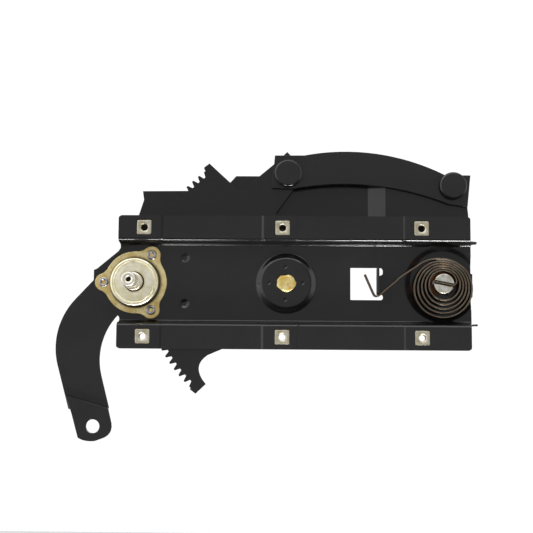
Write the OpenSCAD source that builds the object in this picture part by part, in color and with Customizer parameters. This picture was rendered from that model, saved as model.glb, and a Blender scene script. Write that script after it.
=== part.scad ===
// Manual window regulator: a channel plate carries a crank spindle with a pinion,
// a toothed sector, a curved link and a long lift arm balanced by a clock spring.
// Millimetres, X to the right, Z up, Y away from the door's inner face.
// Origin: centre of the six clinch nuts, on the front faces of the mounting pads.

/* [Mounting nuts] */
// Distance between the outer columns of nuts
nut_grid_w = 280; // [270:1:286]
// Distance between the upper and lower rows of nuts
nut_grid_h = 110; // [108:1:114]
// Side of the square nut pilot that shows in the pad
nut_side = 14.6; // [13:0.1:15]
// Radius of the thread's minor diameter
nut_hole_r = 3.4; // [3:0.1:4.2]

/* [Channel plate] */
// Sheet thickness of the channel
sheet_t = 2; // [1.8:0.1:2.2]
// Left end of the channel
plate_left = -166; // [-170:1:-164]
// Right end of the channel's flanges
plate_right = 189; // [188:1:190]
// Right end of the channel's web
web_right = 192; // [191:1:193]
// Half height over the flanges
plate_half_h = 67.3; // [66:0.1:70]
// Depth of the web's front face behind the pads
web_y = 15; // [15:0.1:15.2]
// Depth of the flange's front face behind the pads
flange_y = 1.2; // [1:0.1:1.5]
// Bend radius to the middle of the sheet
bend_r = 3; // [2.5:0.1:3.2]
// Slope of the side walls away from the depth axis
wall_slope = 11.2; // [10:0.1:14]

/* [Pivots] */
// Distance of the hub stud, which carries the sector, from the middle of the nuts
hub_x = 4; // [2:0.5:6]
// Distance of the lift arm's post from the middle of the nuts
post_x = 163; // [162:0.5:164]
// Crank pin on the sector, from the hub stud
crank_pin_at = [1.5, 113.4]; // [1, 113:1.5, 113.4:2, 114]
// Link pin on the lift arm, from the post
link_pin_at = [11.5, 101]; // [11, 100.5:11.5, 101:12, 101.5]

/* [Gears] */
// Module of the sector and pinion
gear_module = 2.5; // [2.4:0.05:2.5]
// Teeth on a full circle of the sector
sector_z = 114; // [112:1:114]
// Teeth of the pinion
pinion_z = 9; // [9:1:9]
// Profile shift of the pinion, taken off the sector
profile_shift = 0.4; // [0.35:0.05:0.45]
// Backlash taken off each tooth
backlash = 0.3; // [0.2:0.05:0.5]
// Teeth below the horizontal through the hub stud
teeth_below = 15; // [14:1:15]
// Teeth above it
teeth_above = 17; // [16:1:17]

/* [Plates that move] */
// Thickness of the sector, link and lift arm
blank_t = 4; // [3.5:0.1:4]
// Depth of the sector's front face
sector_y = 19.5; // [19.5:0.1:19.8]
// Depth of the link's front face
link_y = 15; // [14.8:0.1:15]
// Depth of the lift arm's front face, left of its joggle
arm_y = 26.5; // [26.5:0.1:27]
// Height of the lift arm's upper edge at its left end
arm_top = 97.3; // [96:0.1:98]
// Height of the lift arm's upper edge behind the link
arm_high = 112.8; // [112:0.1:113]
// Height of the lift arm's straight lower edge
arm_bottom = 19; // [18:0.5:24]

/* [Crank spindle] */
// Depth of the spindle's splined tip
spindle_tip_y = -32.5; // [-36:0.5:-28]
// Outer radius over the splines
spline_r = 7.4; // [7.2:0.1:7.6]
// Number of splines
spline_count = 24; // [18:1:30]

/* [Clock spring] */
// Turns of the spring
spring_turns = 5.2; // [5.15:0.05:5.25]
// Thickness of the spring strip
strip_t = 1.8; // [1.6:0.1:2]
// Width of the spring strip
strip_w = 8.5; // [7:0.5:9]

/* [Hidden] */
$fn = 64;
tiny = 0.01;

// Colours of the finishes
black_paint = [0.13, 0.13, 0.13];
yellow_zinc = [0.80, 0.68, 0.38];
bright_steel = [0.72, 0.71, 0.68];
spring_brown = [0.24, 0.19, 0.15];
dark_steel = [0.30, 0.30, 0.31];
bronze = [0.62, 0.45, 0.25];

// Pivot points in X and Z
hub = [hub_x, 0];
post = [post_x, 0];
crank_pin_c = hub + crank_pin_at;
link_pin_c = post + link_pin_at;

// Gear radii
pitch_r = gear_module * sector_z / 2;
pinion_pitch_r = gear_module * pinion_z / 2;
sector_tip_r = pitch_r + gear_module * (1 - profile_shift);
sector_root_r = pitch_r - gear_module * (1.25 + profile_shift);
pinion_tip_r = pinion_pitch_r + gear_module * (1 + profile_shift) - 0.2;
pinion_root_r = pinion_pitch_r - gear_module * (1.35 - profile_shift);
pressure_angle = 20;
spindle = [hub_x - pitch_r - pinion_pitch_r, 0];

// Web layers
web_back = web_y + sheet_t;
boss_rise = 4;
boss_r = 31.2;
boss_face_r = 23.5;
recess_depth = 2;
recess_r = 36.5;
recess_face_r = 33;
dimple_r = 5.5;
dimple_depth = 1.8;
dimples = [[-99.7, 25.6], [-99.6, -21.4]];
post_bore_r = 10.05;
post_r = 10;
stud_shank_r = 6;
journal_r = 8;
run_gap = 0.05;
bush_r = 10;
pinion_window_r = 17;

// Brake housing
ear_ring_r = 32.5;
ear_r = 9;
ear_fillet_r = 14;
housing_flange_r = 32;
housing_flange_t = 2.5;
housing_y = web_y - housing_flange_t;
dome_r = 24.5;
dome_y = 3;
rivet_shank_r = 3;

// Link pin at the opened pivot
link_hole_r = 9.5;
link_pin_r = 5;
pin_head_r = 13.4;
pin_head_y = 9;

// ---------- helpers ----------

// A flat blank: a drawing in X and Z, given thickness t from depth y0 on
module slab(y0, t) {
    translate([0, y0 + t, 0])
        rotate([90, 0, 0])
            linear_extrude(t) children();
}

// A turned piece: a drawing in radius and depth, spun about an axis along Y
module turned(at) {
    translate([at[0], 0, at[1]])
        rotate([-90, 0, 0])
            rotate_extrude($fn = 96) children();
}

// A plain round bar along Y
module rod(at, r, y0, y1) {
    translate([at[0], y0, at[1]])
        rotate([-90, 0, 0]) cylinder(r = r, h = y1 - y0);
}

// Points on an arc about c, from angle a0 to a1 in n steps
function arc(c, r, a0, a1, n) =
    [for (i = [0:n]) c + r * [cos(a0 + (a1 - a0) * i / n), sin(a0 + (a1 - a0) * i / n)]];

// Points on a curve that leaves p0 towards p1 and arrives at p2
function curve(p0, p1, p2, n) =
    [for (i = [0:n]) let (t = i / n) (1 - t) * (1 - t) * p0 + 2 * t * (1 - t) * p1 + t * t * p2];

// Rectangle with round corners
function round_rect(x0, z0, x1, z1, r) =
    concat(arc([x1 - r, z1 - r], r, 0, 90, 5), arc([x0 + r, z1 - r], r, 90, 180, 5),
           arc([x0 + r, z0 + r], r, 180, 270, 5), arc([x1 - r, z0 + r], r, 270, 360, 5));

// Half section of a disc of radius r between depths y0 and y1, front edge rounded by f
module disc_section(r, y0, y1, f) {
    translate([0, y0]) square([r - f, y1 - y0]);
    translate([0, y0 + f]) square([r, y1 - y0 - f]);
    translate([r - f, y0 + f]) circle(f, $fn = 32);
}

// ---------- channel plate ----------

flange_mid_y = flange_y + sheet_t / 2;
web_mid_y = web_y + sheet_t / 2;
turn = 90 - wall_slope;
wall_len = (web_mid_y - flange_mid_y - 2 * bend_r * (1 - cos(turn))) / cos(wall_slope);
flange_root = 45.1;
web_root = flange_root - 2 * bend_r * sin(turn) - wall_len * sin(wall_slope);

// Side of the channel's section at offset d from the middle of the sheet
function side_line(d) =
    concat(arc([flange_mid_y + bend_r, flange_root], bend_r - d, 180, 180 + turn, 6),
           arc([web_mid_y - bend_r, web_root], bend_r + d, turn, 0, 6));
function flip(points) = [for (i = [len(points) - 1:-1:0]) [points[i][0], -points[i][1]]];
function reverse(points) = [for (i = [len(points) - 1:-1:0]) points[i]];

channel_section = concat(side_line(-sheet_t / 2), flip(side_line(-sheet_t / 2)),
                         reverse(flip(side_line(sheet_t / 2))), reverse(side_line(sheet_t / 2)));

pad_ramp = 3.5;
pads = [[plate_left, -124], [-18, 14.5], [124.5, plate_right]];

// Line of the flange's front face: flat, stepped forward at each pad
function flange_line(y) =
    [[pads[0][0], y - flange_y], [pads[0][1], y - flange_y], [pads[0][1] + pad_ramp, y],
     [pads[1][0] - pad_ramp, y], [pads[1][0], y - flange_y], [pads[1][1], y - flange_y],
     [pads[1][1] + pad_ramp, y], [pads[2][0] - pad_ramp, y], [pads[2][0], y - flange_y],
     [pads[2][1], y - flange_y]];

module flange() {
    intersection() {
        translate([0, 0, flange_root - tiny])
            linear_extrude(plate_half_h)
                polygon(concat(flange_line(flange_y), reverse(flange_line(flange_y + sheet_t))));
        slab(-1, 6)
            polygon(round_rect(plate_left, flange_root - 8, plate_right, plate_half_h, 3));
    }
}

// Sheet pressed out of the web: front line from the edge radius to the face radius
module pressed_face(edge_r, face_r, edge_y, face_y) {
    polygon([[0, face_y], [face_r, face_y], [edge_r, edge_y], [edge_r + 1, edge_y],
             [edge_r + 1, edge_y + sheet_t], [edge_r, edge_y + sheet_t],
             [face_r, face_y + sheet_t], [0, face_y + sheet_t]]);
}

cut_left = 69.4;
cut_right = 96;
cut_top = 16.2;
cut_low = -16.6;
relief_right = 102.5;
tab_h = 10;
tab_reach = 1.8;
wall_tip = 5.5;

// Right end of the web, with the short tab that stands out of it
module web_end_outline() {
    polygon(round_rect(post_x - 40, -web_root, web_right, web_root, 1));
    polygon(round_rect(post_x, -13, web_right + tab_reach, 11, 1.5));
}

module web_openings() {
    slab(web_y - 3, 8) {
        translate([cut_left, cut_low]) square([cut_right - cut_left, cut_top - cut_low]);
        polygon(round_rect(cut_right - 4, 8.5, relief_right, cut_top, 3));
        polygon(round_rect(cut_right - 4, cut_low, relief_right, -10.9, 2.5));
    }
    rod(hub, boss_r, web_y - 1, web_back + 1);
    rod(post, recess_r, web_y - 1, web_back + 1);
    rod(spindle, pinion_window_r, web_y - 1, web_back + 1);
    for (d = dimples) rod(d, dimple_r, web_y - 1, web_back + 1);
    for (a = [60, 180, 300])
        rod(spindle + ear_ring_r * [cos(a), sin(a)], rivet_shank_r, web_y - 1, web_back + 1);
}

module channel_plate() {
    color(black_paint) {
        difference() {
            union() {
                translate([plate_left, 0, 0])
                    rotate([90, 0, 90])
                        linear_extrude(web_right - plate_left) polygon(channel_section);
                slab(web_y, sheet_t)
                    polygon([[plate_left + 1, 34], [-190, 13.9], [-193, 12.8], [-193, -15.5],
                             [-190, -17], [-168.4, -32.4], [plate_left + 1, -36]]);
                slab(web_y, sheet_t) web_end_outline();
                for (s = [0, 1]) mirror([0, 0, s]) flange();
            }
            web_openings();
            for (x = [-1, 0, 1], z = [-1, 1])
                translate([x * nut_grid_w / 2, 0, z * nut_grid_h / 2])
                    cube([nut_side + 0.1, 12, nut_side + 0.1], center = true);
        }
        turned(hub) difference() {
            pressed_face(boss_r, boss_face_r, web_y, web_y - boss_rise);
            translate([-1, 0]) square([1 + stud_shank_r, 30]);
        }
        intersection() {
            turned(post) difference() {
                pressed_face(recess_r, recess_face_r, web_y, web_y + recess_depth);
                translate([-1, 0]) square([1 + post_bore_r, 30]);
            }
            slab(0, 30) web_end_outline();
        }
        for (d = dimples)
            turned(d) pressed_face(dimple_r, 2, web_y, web_y + dimple_depth);
        translate([cut_right, web_y - tab_h, -9.5]) cube([sheet_t, tab_h + sheet_t, 25.5]);
        for (s = [0, 1]) mirror([0, 0, s])
            translate([web_right - 1, 6, 42.2])
                rotate([-wall_slope, 0, 0]) cube([wall_tip, 4, sheet_t]);
    }
}

// ---------- fasteners of the plate ----------

module pierce_nuts() {
    color(bright_steel)
        for (x = [-1, 0, 1], z = [-1, 1])
            translate([x * nut_grid_w / 2, 0, z * nut_grid_h / 2])
                difference() {
                    union() {
                        translate([-nut_side / 2, 0, -nut_side / 2])
                            cube([nut_side, 7.5, nut_side]);
                        translate([-8.2, sheet_t, -8.2]) cube([16.4, 5.5, 16.4]);
                    }
                    rotate([-90, 0, 0])
                        translate([0, 0, -1]) cylinder(r = nut_hole_r, h = 10);
                }
}

module hub_stud() {
    color(yellow_zinc)
        turned(hub) {
            disc_section(9.4, web_y - boss_rise - 1.8, web_y - boss_rise, 1);
            translate([0, web_y - boss_rise - 1]) square([stud_shank_r, 4]);
            translate([0, 13]) square([12, 4]);
            translate([0, 16]) square([journal_r, 8]);
            translate([0, sector_y + blank_t + 0.2]) square([14, 2.3]);
        }
}

module hub_washer() {
    color(yellow_zinc)
        turned(hub) translate([journal_r + run_gap, 17]) square([10, 2.2]);
}

// ---------- brake housing on the plate ----------

// Angle between an ear and the centre of the fillet beside it
ear_fillet_a = acos((pow(housing_flange_r + ear_fillet_r, 2) + pow(ear_ring_r, 2)
                     - pow(ear_r + ear_fillet_r, 2))
                    / (2 * (housing_flange_r + ear_fillet_r) * ear_ring_r));

module housing_outline() {
    circle(housing_flange_r, $fn = 96);
    for (a = [60, 180, 300]) {
        rotate(a) translate([ear_ring_r, 0]) circle(ear_r);
        for (s = [-1, 1]) difference() {
            polygon([[0, 0], ear_ring_r * [cos(a), sin(a)],
                     (housing_flange_r + ear_fillet_r)
                     * [cos(a + s * ear_fillet_a), sin(a + s * ear_fillet_a)]]);
            rotate(a + s * ear_fillet_a)
                translate([housing_flange_r + ear_fillet_r, 0]) circle(ear_fillet_r + 0.1);
        }
    }
}

module brake_housing() {
    color(yellow_zinc) {
        difference() {
            translate([spindle[0], 0, 0])
                slab(housing_y, housing_flange_t) housing_outline();
            rod(spindle, dome_r - 1, 0, 30);
            for (a = [60, 180, 300])
                rod(spindle + ear_ring_r * [cos(a), sin(a)], rivet_shank_r, 0, 30);
        }
        turned(spindle)
            polygon([[9.8, dome_y + 1.6], [10.6, dome_y + 0.8], [20.5, dome_y + 0.8],
                     [21.6, dome_y], [23, dome_y], [24.1, dome_y + 0.6], [dome_r, dome_y + 1.8],
                     [dome_r, housing_y - 1.5], [dome_r + 0.5, housing_y - 0.4],
                     [dome_r + 1.6, housing_y + 0.4], [dome_r + 1.6, web_y - 0.5],
                     [dome_r - 2, web_y - 0.5],
                     [dome_r - 2, dome_y + 2.8], [9.8, dome_y + 2.8]]);
    }
}

module housing_rivets() {
    color(bright_steel)
        for (a = [60, 180, 300])
            turned(spindle + ear_ring_r * [cos(a), sin(a)])
                difference() {
                    union() {
                        disc_section(5, housing_y - 1.6, housing_y, 0.8);
                        translate([0, housing_y - 1]) square([rivet_shank_r, 6]);
                        translate([0, web_back]) square([4.5, 1.2]);
                    }
                    translate([-1, 0]) square([3.2, 15]);
                }
}

module brake_drum() {
    color(dark_steel)
        turned(spindle) {
            translate([19.6, 5.9]) square([2.9, 9]);
            translate([13.4, 5.9]) square([7, 1.2]);
        }
}

module spindle_bush() {
    color(bronze)
        turned(spindle) {
            translate([9.05, 2.6]) square([0.75, 5.2]);
            translate([9.05, 5.8]) square([3.9, 2]);
        }
}

// ---------- crank spindle and pinion ----------

module crank_spindle() {
    color(bright_steel)
        difference() {
            union() {
                difference() {
                    turned(spindle) disc_section(spline_r, spindle_tip_y, -9, 0.8);
                    for (i = [0:spline_count - 1])
                        translate([spindle[0], 0, 0])
                            rotate([0, i * 360 / spline_count, 0])
                                translate([spline_r + 0.05, spindle_tip_y - 1, 0])
                                    rotate([0, 45, 0])
                                        translate([-0.4, 0, -0.4]) cube([0.8, 19, 0.8]);
                }
                turned(spindle) {
                    translate([0, -10]) square([6.6, 5]);
                    disc_section(9, -6, 8, 0.8);
                    translate([0, 8]) square([16.2, 2.4]);
                    translate([0, 9]) square([5, 16]);
                    translate([0, 24.4]) square([7, 1.5]);
                }
            }
            rod(spindle, 2.5, spindle_tip_y - 1, spindle_tip_y + 16);
            turned(spindle)
                polygon([[0, spindle_tip_y - 1], [4.3, spindle_tip_y - 1], [2.5, spindle_tip_y + 0.8],
                         [0, spindle_tip_y + 0.8]]);
        }
}

// Brake spring: round wire wound in a helix just inside the drum
wire_r = 1;
wire_sides = 8;
coil_r = 18.2;
coil_turns = 2.5;
coil_pitch = 2.05;
coil_rings = 60;
coil_y = 8.3;
function helix_ring(i) =
    let (t = i / coil_rings, a = 360 * coil_turns * t)
    [for (k = [0:wire_sides - 1])
        let (b = 360 * k / wire_sides, r = coil_r + wire_r * cos(b))
        [spindle[0] + r * cos(a), coil_y + coil_pitch * coil_turns * t + wire_r * sin(b), r * sin(a)]];

module brake_spring() {
    last = coil_rings * wire_sides;
    color(spring_brown)
        polyhedron(
            points = [for (i = [0:coil_rings]) each helix_ring(i)],
            faces = concat(
                [[for (k = [wire_sides - 1:-1:0]) k]],
                [for (i = [0:coil_rings - 1], k = [0:wire_sides - 1])
                    [i * wire_sides + k, i * wire_sides + (k + 1) % wire_sides,
                     (i + 1) * wire_sides + (k + 1) % wire_sides, (i + 1) * wire_sides + k]],
                [[for (k = [0:wire_sides - 1]) last + k]]));
}

module drive_dog() {
    color(dark_steel) {
        turned(spindle) translate([5, 12.6]) square([11.2, 2.4]);
        for (a = [0, 180])
            intersection() {
                turned(spindle) translate([11, 10.4]) square([5, 3]);
                translate([spindle[0], 9, 0])
                    rotate([0, a, 0]) translate([0, 0, -5]) cube([20, 6, 10]);
            }
    }
}

// Involute function in degrees
function inv(a) = tan(a) * 180 / PI - a;
pinion_base_r = pinion_pitch_r * cos(pressure_angle);
pinion_half_a = (gear_module * (PI / 2 + 2 * profile_shift * tan(pressure_angle)) - backlash)
                / (2 * pinion_pitch_r) * 180 / PI;
function flank_a(r) = pinion_half_a + inv(pressure_angle) - inv(acos(pinion_base_r / r));
flank_steps = 5;
flank_r = [for (i = [0:flank_steps])
    pinion_base_r + tiny + (pinion_tip_r - pinion_base_r - tiny) * i / flank_steps];

function polar(r, a) = r * [cos(a), sin(a)];
function pinion_tooth(a) =
    concat([polar(pinion_root_r, a - flank_a(flank_r[0]))],
           [for (r = flank_r) polar(r, a - flank_a(r))],
           [for (i = [flank_steps:-1:0]) polar(flank_r[i], a + flank_a(flank_r[i]))],
           [polar(pinion_root_r, a + flank_a(flank_r[0]))]);

module pinion_gear() {
    color(dark_steel)
        difference() {
            union() {
                translate([spindle[0], 0, 0])
                    slab(18.8, 5.6)
                        polygon([for (i = [0:pinion_z - 1])
                            each pinion_tooth((i + 0.5) * 360 / pinion_z)]);
                rod(spindle, 8.5, 15, 19);
            }
            rod(spindle, 5, 0, 30);
        }
}

// ---------- toothed sector ----------

tooth_a = 360 / sector_z;
tooth_half = (gear_module * (PI / 2 - 2 * profile_shift * tan(pressure_angle)) - backlash) / 2;
function tooth_side(r) = (tooth_half - (r - pitch_r) * tan(pressure_angle)) / r * 180 / PI;
function sector_tooth(a) =
    [polar(sector_root_r, a - tooth_side(sector_root_r)), polar(sector_tip_r, a - tooth_side(sector_tip_r)),
     polar(sector_tip_r, a + tooth_side(sector_tip_r)), polar(sector_root_r, a + tooth_side(sector_root_r))];

hub_lobe_r = 30;

module sector_blank() {
    translate(hub)
        polygon([for (i = [-teeth_above:teeth_below]) each sector_tooth(180 + i * tooth_a)]);
    polygon(concat(
        [[-46.4, 97.2], [-76.3, 124.7], [-82.1, 120.1]],
        [for (a = [180 - teeth_above * tooth_a:tooth_a:180 + (teeth_below + 0.7) * tooth_a])
            hub + polar(sector_root_r + 0.3, a)],
        [[-93.4, -108.1], [-87.6, -112.6]],
        curve([-77.4, -102.9], [-93, -85], [-76, -73.6], 8),
        [[-62, -67.6]],
        arc(hub, hub_lobe_r, 225, 392, 14),
        [[1, 56], [-6.9, 73], [10.5, 97.1], [28.5, 113.3], [4.5, 137.1], [-10.3, 123.2],
         [-41.3, 97]]));
}

module sector_gear() {
    color(black_paint)
        difference() {
            slab(sector_y, blank_t) sector_blank();
            rod(hub, bush_r, 0, 40);
            rod(crank_pin_c, 6, 0, 40);
        }
}

module sector_bush() {
    color(bronze)
        turned(hub) translate([journal_r + run_gap, sector_y])
            square([bush_r - journal_r - run_gap, blank_t]);
}

module crank_pin() {
    color(black_paint)
        turned(crank_pin_c) {
            disc_section(pin_head_r, pin_head_y, link_y - 0.2, 1.4);
            translate([0, link_y - 1]) square([journal_r, sector_y - link_y + 1]);
            translate([0, sector_y - 1]) square([6, blank_t + 2]);
            translate([0, sector_y + blank_t]) square([9, 1.6]);
        }
}

module crank_pin_washer() {
    color(yellow_zinc)
        turned(crank_pin_c) translate([journal_r + run_gap, link_y + blank_t + 0.1]) square([5, 0.3]);
}

// ---------- curved link ----------

link_arc_top = [65.2, -89.7];
link_arc_low = [64.3, -182.6];
link_top_r = 226.5;
link_low_r = 285.5;

module link_outline() {
    polygon(concat(
        [[-8.3, 132.5]],
        [[-11.2, 98.5], [9.7, 97.6]],
        arc(link_arc_low, link_low_r, 98.5, 68.2, 16),
        [[189.6, 79.6], [192.9, 112.4]],
        arc(link_arc_top, link_top_r, 63.3, 101, 16)));
}

module curved_link() {
    color(black_paint)
        difference() {
            slab(link_y, blank_t) link_outline();
            rod(crank_pin_c, bush_r, 0, 40);
            rod(link_pin_c, link_hole_r, 0, 40);
        }
}

module link_bush() {
    color(bronze)
        turned(crank_pin_c) translate([journal_r + run_gap, link_y])
            square([bush_r - journal_r - run_gap, blank_t]);
}

// ---------- lift arm ----------

joggle_left = 88.6;
joggle_right = 106;
arm_outer_c = [-160.7, -65.8];
arm_outer_r = 72.4;
arm_inner_c = [-121.1, -78.4];
arm_inner_r = 66.8;
arm_hub_r = 28;
seam_left = [-222.3, -114.6];
seam_right = [-177.2, -127.8];

module arm_left_outline() {
    polygon(concat(
        [[joggle_left + tiny, arm_bottom], [joggle_left + tiny, arm_high], [-48.6, arm_high],
         [-62.6, arm_top], [-146, arm_top - 0.8], [-144.7, 87.2]],
        curve([-149.5, 72.1], [-160.3, 40.8], [-194.5, 4.1], 10),
        arc(arm_outer_c, arm_outer_r, 137, 195, 14),
        [seam_left, [-218.2, -129.2], [-181, -139.5], seam_right],
        arc(arm_inner_c, arm_inner_r, 194.6, 135, 12),
        curve([-168.3, -31.2], [-118.1, arm_bottom], [-60, arm_bottom], 10)));
}

module arm_right_outline() {
    polygon(concat(
        [[joggle_right - tiny, arm_high], [joggle_right - tiny, arm_bottom]],
        curve([joggle_right + 2, arm_bottom], [132, arm_bottom], post + polar(arm_hub_r, 225), 8),
        arc(post, arm_hub_r, 230, 360, 12),
        [[post_x + arm_hub_r, 72], [190, 82], [187, 110], [150, arm_high]]));
}

module lift_arm() {
    color(black_paint)
        difference() {
            union() {
                slab(arm_y, blank_t) arm_left_outline();
                slab(sector_y, blank_t) arm_right_outline();
                translate([0, 0, arm_bottom])
                    linear_extrude(arm_high - arm_bottom)
                        polygon([[joggle_left, arm_y], [joggle_right, sector_y],
                                 [joggle_right, sector_y + blank_t], [joggle_left, arm_y + blank_t]]);
            }
            rod(post, 8, 0, 40);
            rod(link_pin_c, link_pin_r, 0, 40);
            for (a = [60, 180, 300]) rod(post + polar(18, a), 2.5, 0, 40);
        }
}

tip_hole = [-192.3, -146.4];
tip_hole_r = 7;

module arm_tip_plate() {
    color(black_paint)
        difference() {
            slab(arm_y - blank_t, blank_t)
                polygon(concat(
                    [[-220.8, -115.0], seam_right],
                    curve([-173.4, -143.5], [-171.5, -155.6], [-184, -159.2], 6),
                    curve([-190, -161.3], [-201, -162.2], [-207.2, -157.9], 6),
                    [[-214.2, -133.5]]));
            rod(tip_hole, tip_hole_r, 0, 60);
        }
}

module arm_hub_plate() {
    color(black_paint)
        difference() {
            rod(post, 24, sector_y + blank_t, sector_y + blank_t + 3);
            rod(post, 8, 0, 60);
            for (a = [60, 180, 300]) rod(post + polar(18, a), 2.5, 0, 60);
        }
}

module arm_rivets() {
    color(dark_steel)
        for (a = [60, 180, 300])
            turned(post + polar(18, a)) {
                translate([0, sector_y]) square([2.5, blank_t + 4]);
                translate([0, sector_y + blank_t + 3]) square([4.5, 1.4]);
            }
}

slot_tilt = -11;

module pivot_post() {
    color(bright_steel)
        difference() {
            turned(post) {
                disc_section(post_r, 5, sector_y, 0.8);
                translate([0, 19]) square([8, 7.5]);
                translate([0, sector_y + blank_t + 3]) square([12, 2.4]);
            }
            translate([post_x, 4, 0])
                rotate([0, -slot_tilt, 0]) translate([-12, 0, -2]) cube([24, 11.5, 4]);
            turned(post)
                translate([9.2, 15.75]) square([2, 1.15]);
        }
}

module post_circlip() {
    color(spring_brown)
        difference() {
            turned(post) translate([9.2, 15.8]) square([3.6, 1.05]);
            translate([post_x - 4, 10, -20]) cube([8, 10, 14]);
        }
}

module link_pin() {
    color(black_paint)
        turned(link_pin_c) {
            disc_section(pin_head_r, pin_head_y, link_y - 0.2, 1.4);
            translate([0, link_y - 1]) square([link_pin_r, sector_y - link_y + blank_t + 1.5]);
            translate([0, sector_y + blank_t]) square([9, 1.6]);
        }
}

module link_pin_washer() {
    color(yellow_zinc)
        turned(link_pin_c) translate([link_pin_r + run_gap, link_y + blank_t + 0.1]) square([8, 0.3]);
}

// ---------- clock spring ----------

// Radius of the coils after t turns
function spring_r(t) = 30.9 - 3.38 * t;
// Offset of the coils from the post: they hang below it, most at the outside
function spring_off(t) =
    (1 - pow(t / spring_turns, 4)) * [-1.9 + 0.55 * t - 0.04 * t * t, -5.6 + 1.25 * t - 0.11 * t * t];
spring_y = 6.2;
steps_per_turn = 20;
spring_steps = round(spring_turns * steps_per_turn);

tail_bend_r = 4.5;
spring_end_a = 90 - 360 * (spring_turns - floor(spring_turns));

// Middle line of the coils: they wind inwards clockwise from the top
function coil_at(i) =
    let (t = i / steps_per_turn)
    post + spring_off(t) + polar(spring_r(t), 90 - 360 * t);

// Outer end: hooked round the plate's tab, then straight to the coils
hook = [[83.6, 9], [92.9, -11.6], [95.2, -12.8], [99.2, -10.6], [114.1, 1.3], [119.2, 6],
        [135.7, 17.3], [142.5, 21.8], [149.5, 24.4], [156, 25.4]];
coils = [for (i = [0:spring_steps]) coil_at(i)];
// Inner end: turned in to the slot of the post
tail_c = coil_at(spring_steps) + polar(tail_bend_r, spring_end_a + 180);
tail = concat(arc(tail_c, tail_bend_r, spring_end_a - 20, -90 + slot_tilt, 6),
              [post + polar(6, slot_tilt), post - polar(4, slot_tilt)]);

// Outline of a strip of thickness t along a path of points
function side(path, d) =
    [for (i = [0:len(path) - 1])
        let (a = path[max(i - 1, 0)], b = path[min(i + 1, len(path) - 1)], u = (b - a) / norm(b - a))
        path[i] + d * [-u[1], u[0]]];
function strip(path, t) = concat(side(path, t / 2), reverse(side(path, -t / 2)));

module clock_spring() {
    color(spring_brown)
        slab(spring_y, strip_w) polygon(strip(concat(hook, coils, tail), strip_t));
}

channel_plate();
pierce_nuts();
hub_stud();
hub_washer();
brake_housing();
housing_rivets();
brake_drum();
spindle_bush();
clock_spring();
crank_spindle();
brake_spring();
drive_dog();
pinion_gear();
sector_gear();
sector_bush();
crank_pin();
crank_pin_washer();
curved_link();
link_bush();
lift_arm();
arm_tip_plate();
arm_hub_plate();
arm_rivets();
pivot_post();
post_circlip();
link_pin();
link_pin_washer();
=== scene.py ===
"""Manual window regulator: looks for each piece, built round the fixed frame."""
import math
import bmesh
import bpy
import numpy as np
from mathutils import Matrix, Vector


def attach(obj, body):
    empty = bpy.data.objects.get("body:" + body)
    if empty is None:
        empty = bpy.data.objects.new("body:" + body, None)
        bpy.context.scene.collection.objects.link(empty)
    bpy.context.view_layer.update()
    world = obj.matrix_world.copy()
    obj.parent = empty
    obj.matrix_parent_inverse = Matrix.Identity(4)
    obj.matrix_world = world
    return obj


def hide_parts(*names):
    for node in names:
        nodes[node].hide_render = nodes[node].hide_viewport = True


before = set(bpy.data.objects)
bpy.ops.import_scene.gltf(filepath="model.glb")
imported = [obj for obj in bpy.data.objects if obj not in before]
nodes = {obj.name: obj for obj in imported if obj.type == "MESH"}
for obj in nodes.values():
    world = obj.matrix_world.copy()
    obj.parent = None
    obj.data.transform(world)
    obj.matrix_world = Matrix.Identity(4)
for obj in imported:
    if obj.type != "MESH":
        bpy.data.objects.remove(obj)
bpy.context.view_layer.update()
scene = bpy.context.scene

# ---------------------------------------------------------------------------
# Camera. It stands 0.9 m in front of the plate, a little below its middle, and
# looks slightly up, with the small turn and roll of a hand-set tripod.
# ---------------------------------------------------------------------------
camera_place = (-0.00295, -0.900, -0.0660)
camera_turn, camera_pitch, camera_roll = math.radians(-0.83), math.radians(5.19), math.radians(0.40)
camera_data = bpy.data.cameras.new("camera")
camera_data.lens = 60.72
camera_data.sensor_width = 36.0
camera_data.clip_start, camera_data.clip_end = 0.05, 50.0
camera = bpy.data.objects.new("camera", camera_data)
camera.matrix_world = (Matrix.Translation(camera_place)
                       @ Matrix.Rotation(-camera_turn, 4, "Z")
                       @ Matrix.Rotation(math.pi / 2 + camera_pitch, 4, "X")
                       @ Matrix.Rotation(camera_roll, 4, "Z"))
scene.collection.objects.link(camera)
scene.camera = camera


def linear(code):
    """sRGB hex colour as linear red, green, blue and alpha."""
    parts = [int(code[i:i + 2], 16) / 255 for i in (1, 3, 5)]
    return [c / 12.92 if c <= 0.04045 else ((c + 0.055) / 1.055) ** 2.4 for c in parts] + [1.0]


def add(tree, kind, settings=None, links=None):
    """Adds a node, sets its properties or inputs, and links inputs from other nodes' outputs."""
    made = tree.nodes.new("ShaderNode" + kind)
    for key, value in (settings or {}).items():
        if isinstance(key, str) and hasattr(made, key):
            setattr(made, key, value)
        else:
            made.inputs[key].default_value = value
    for key, source in (links or {}).items():
        tree.links.new(source, made.inputs[key])
    return made


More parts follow.
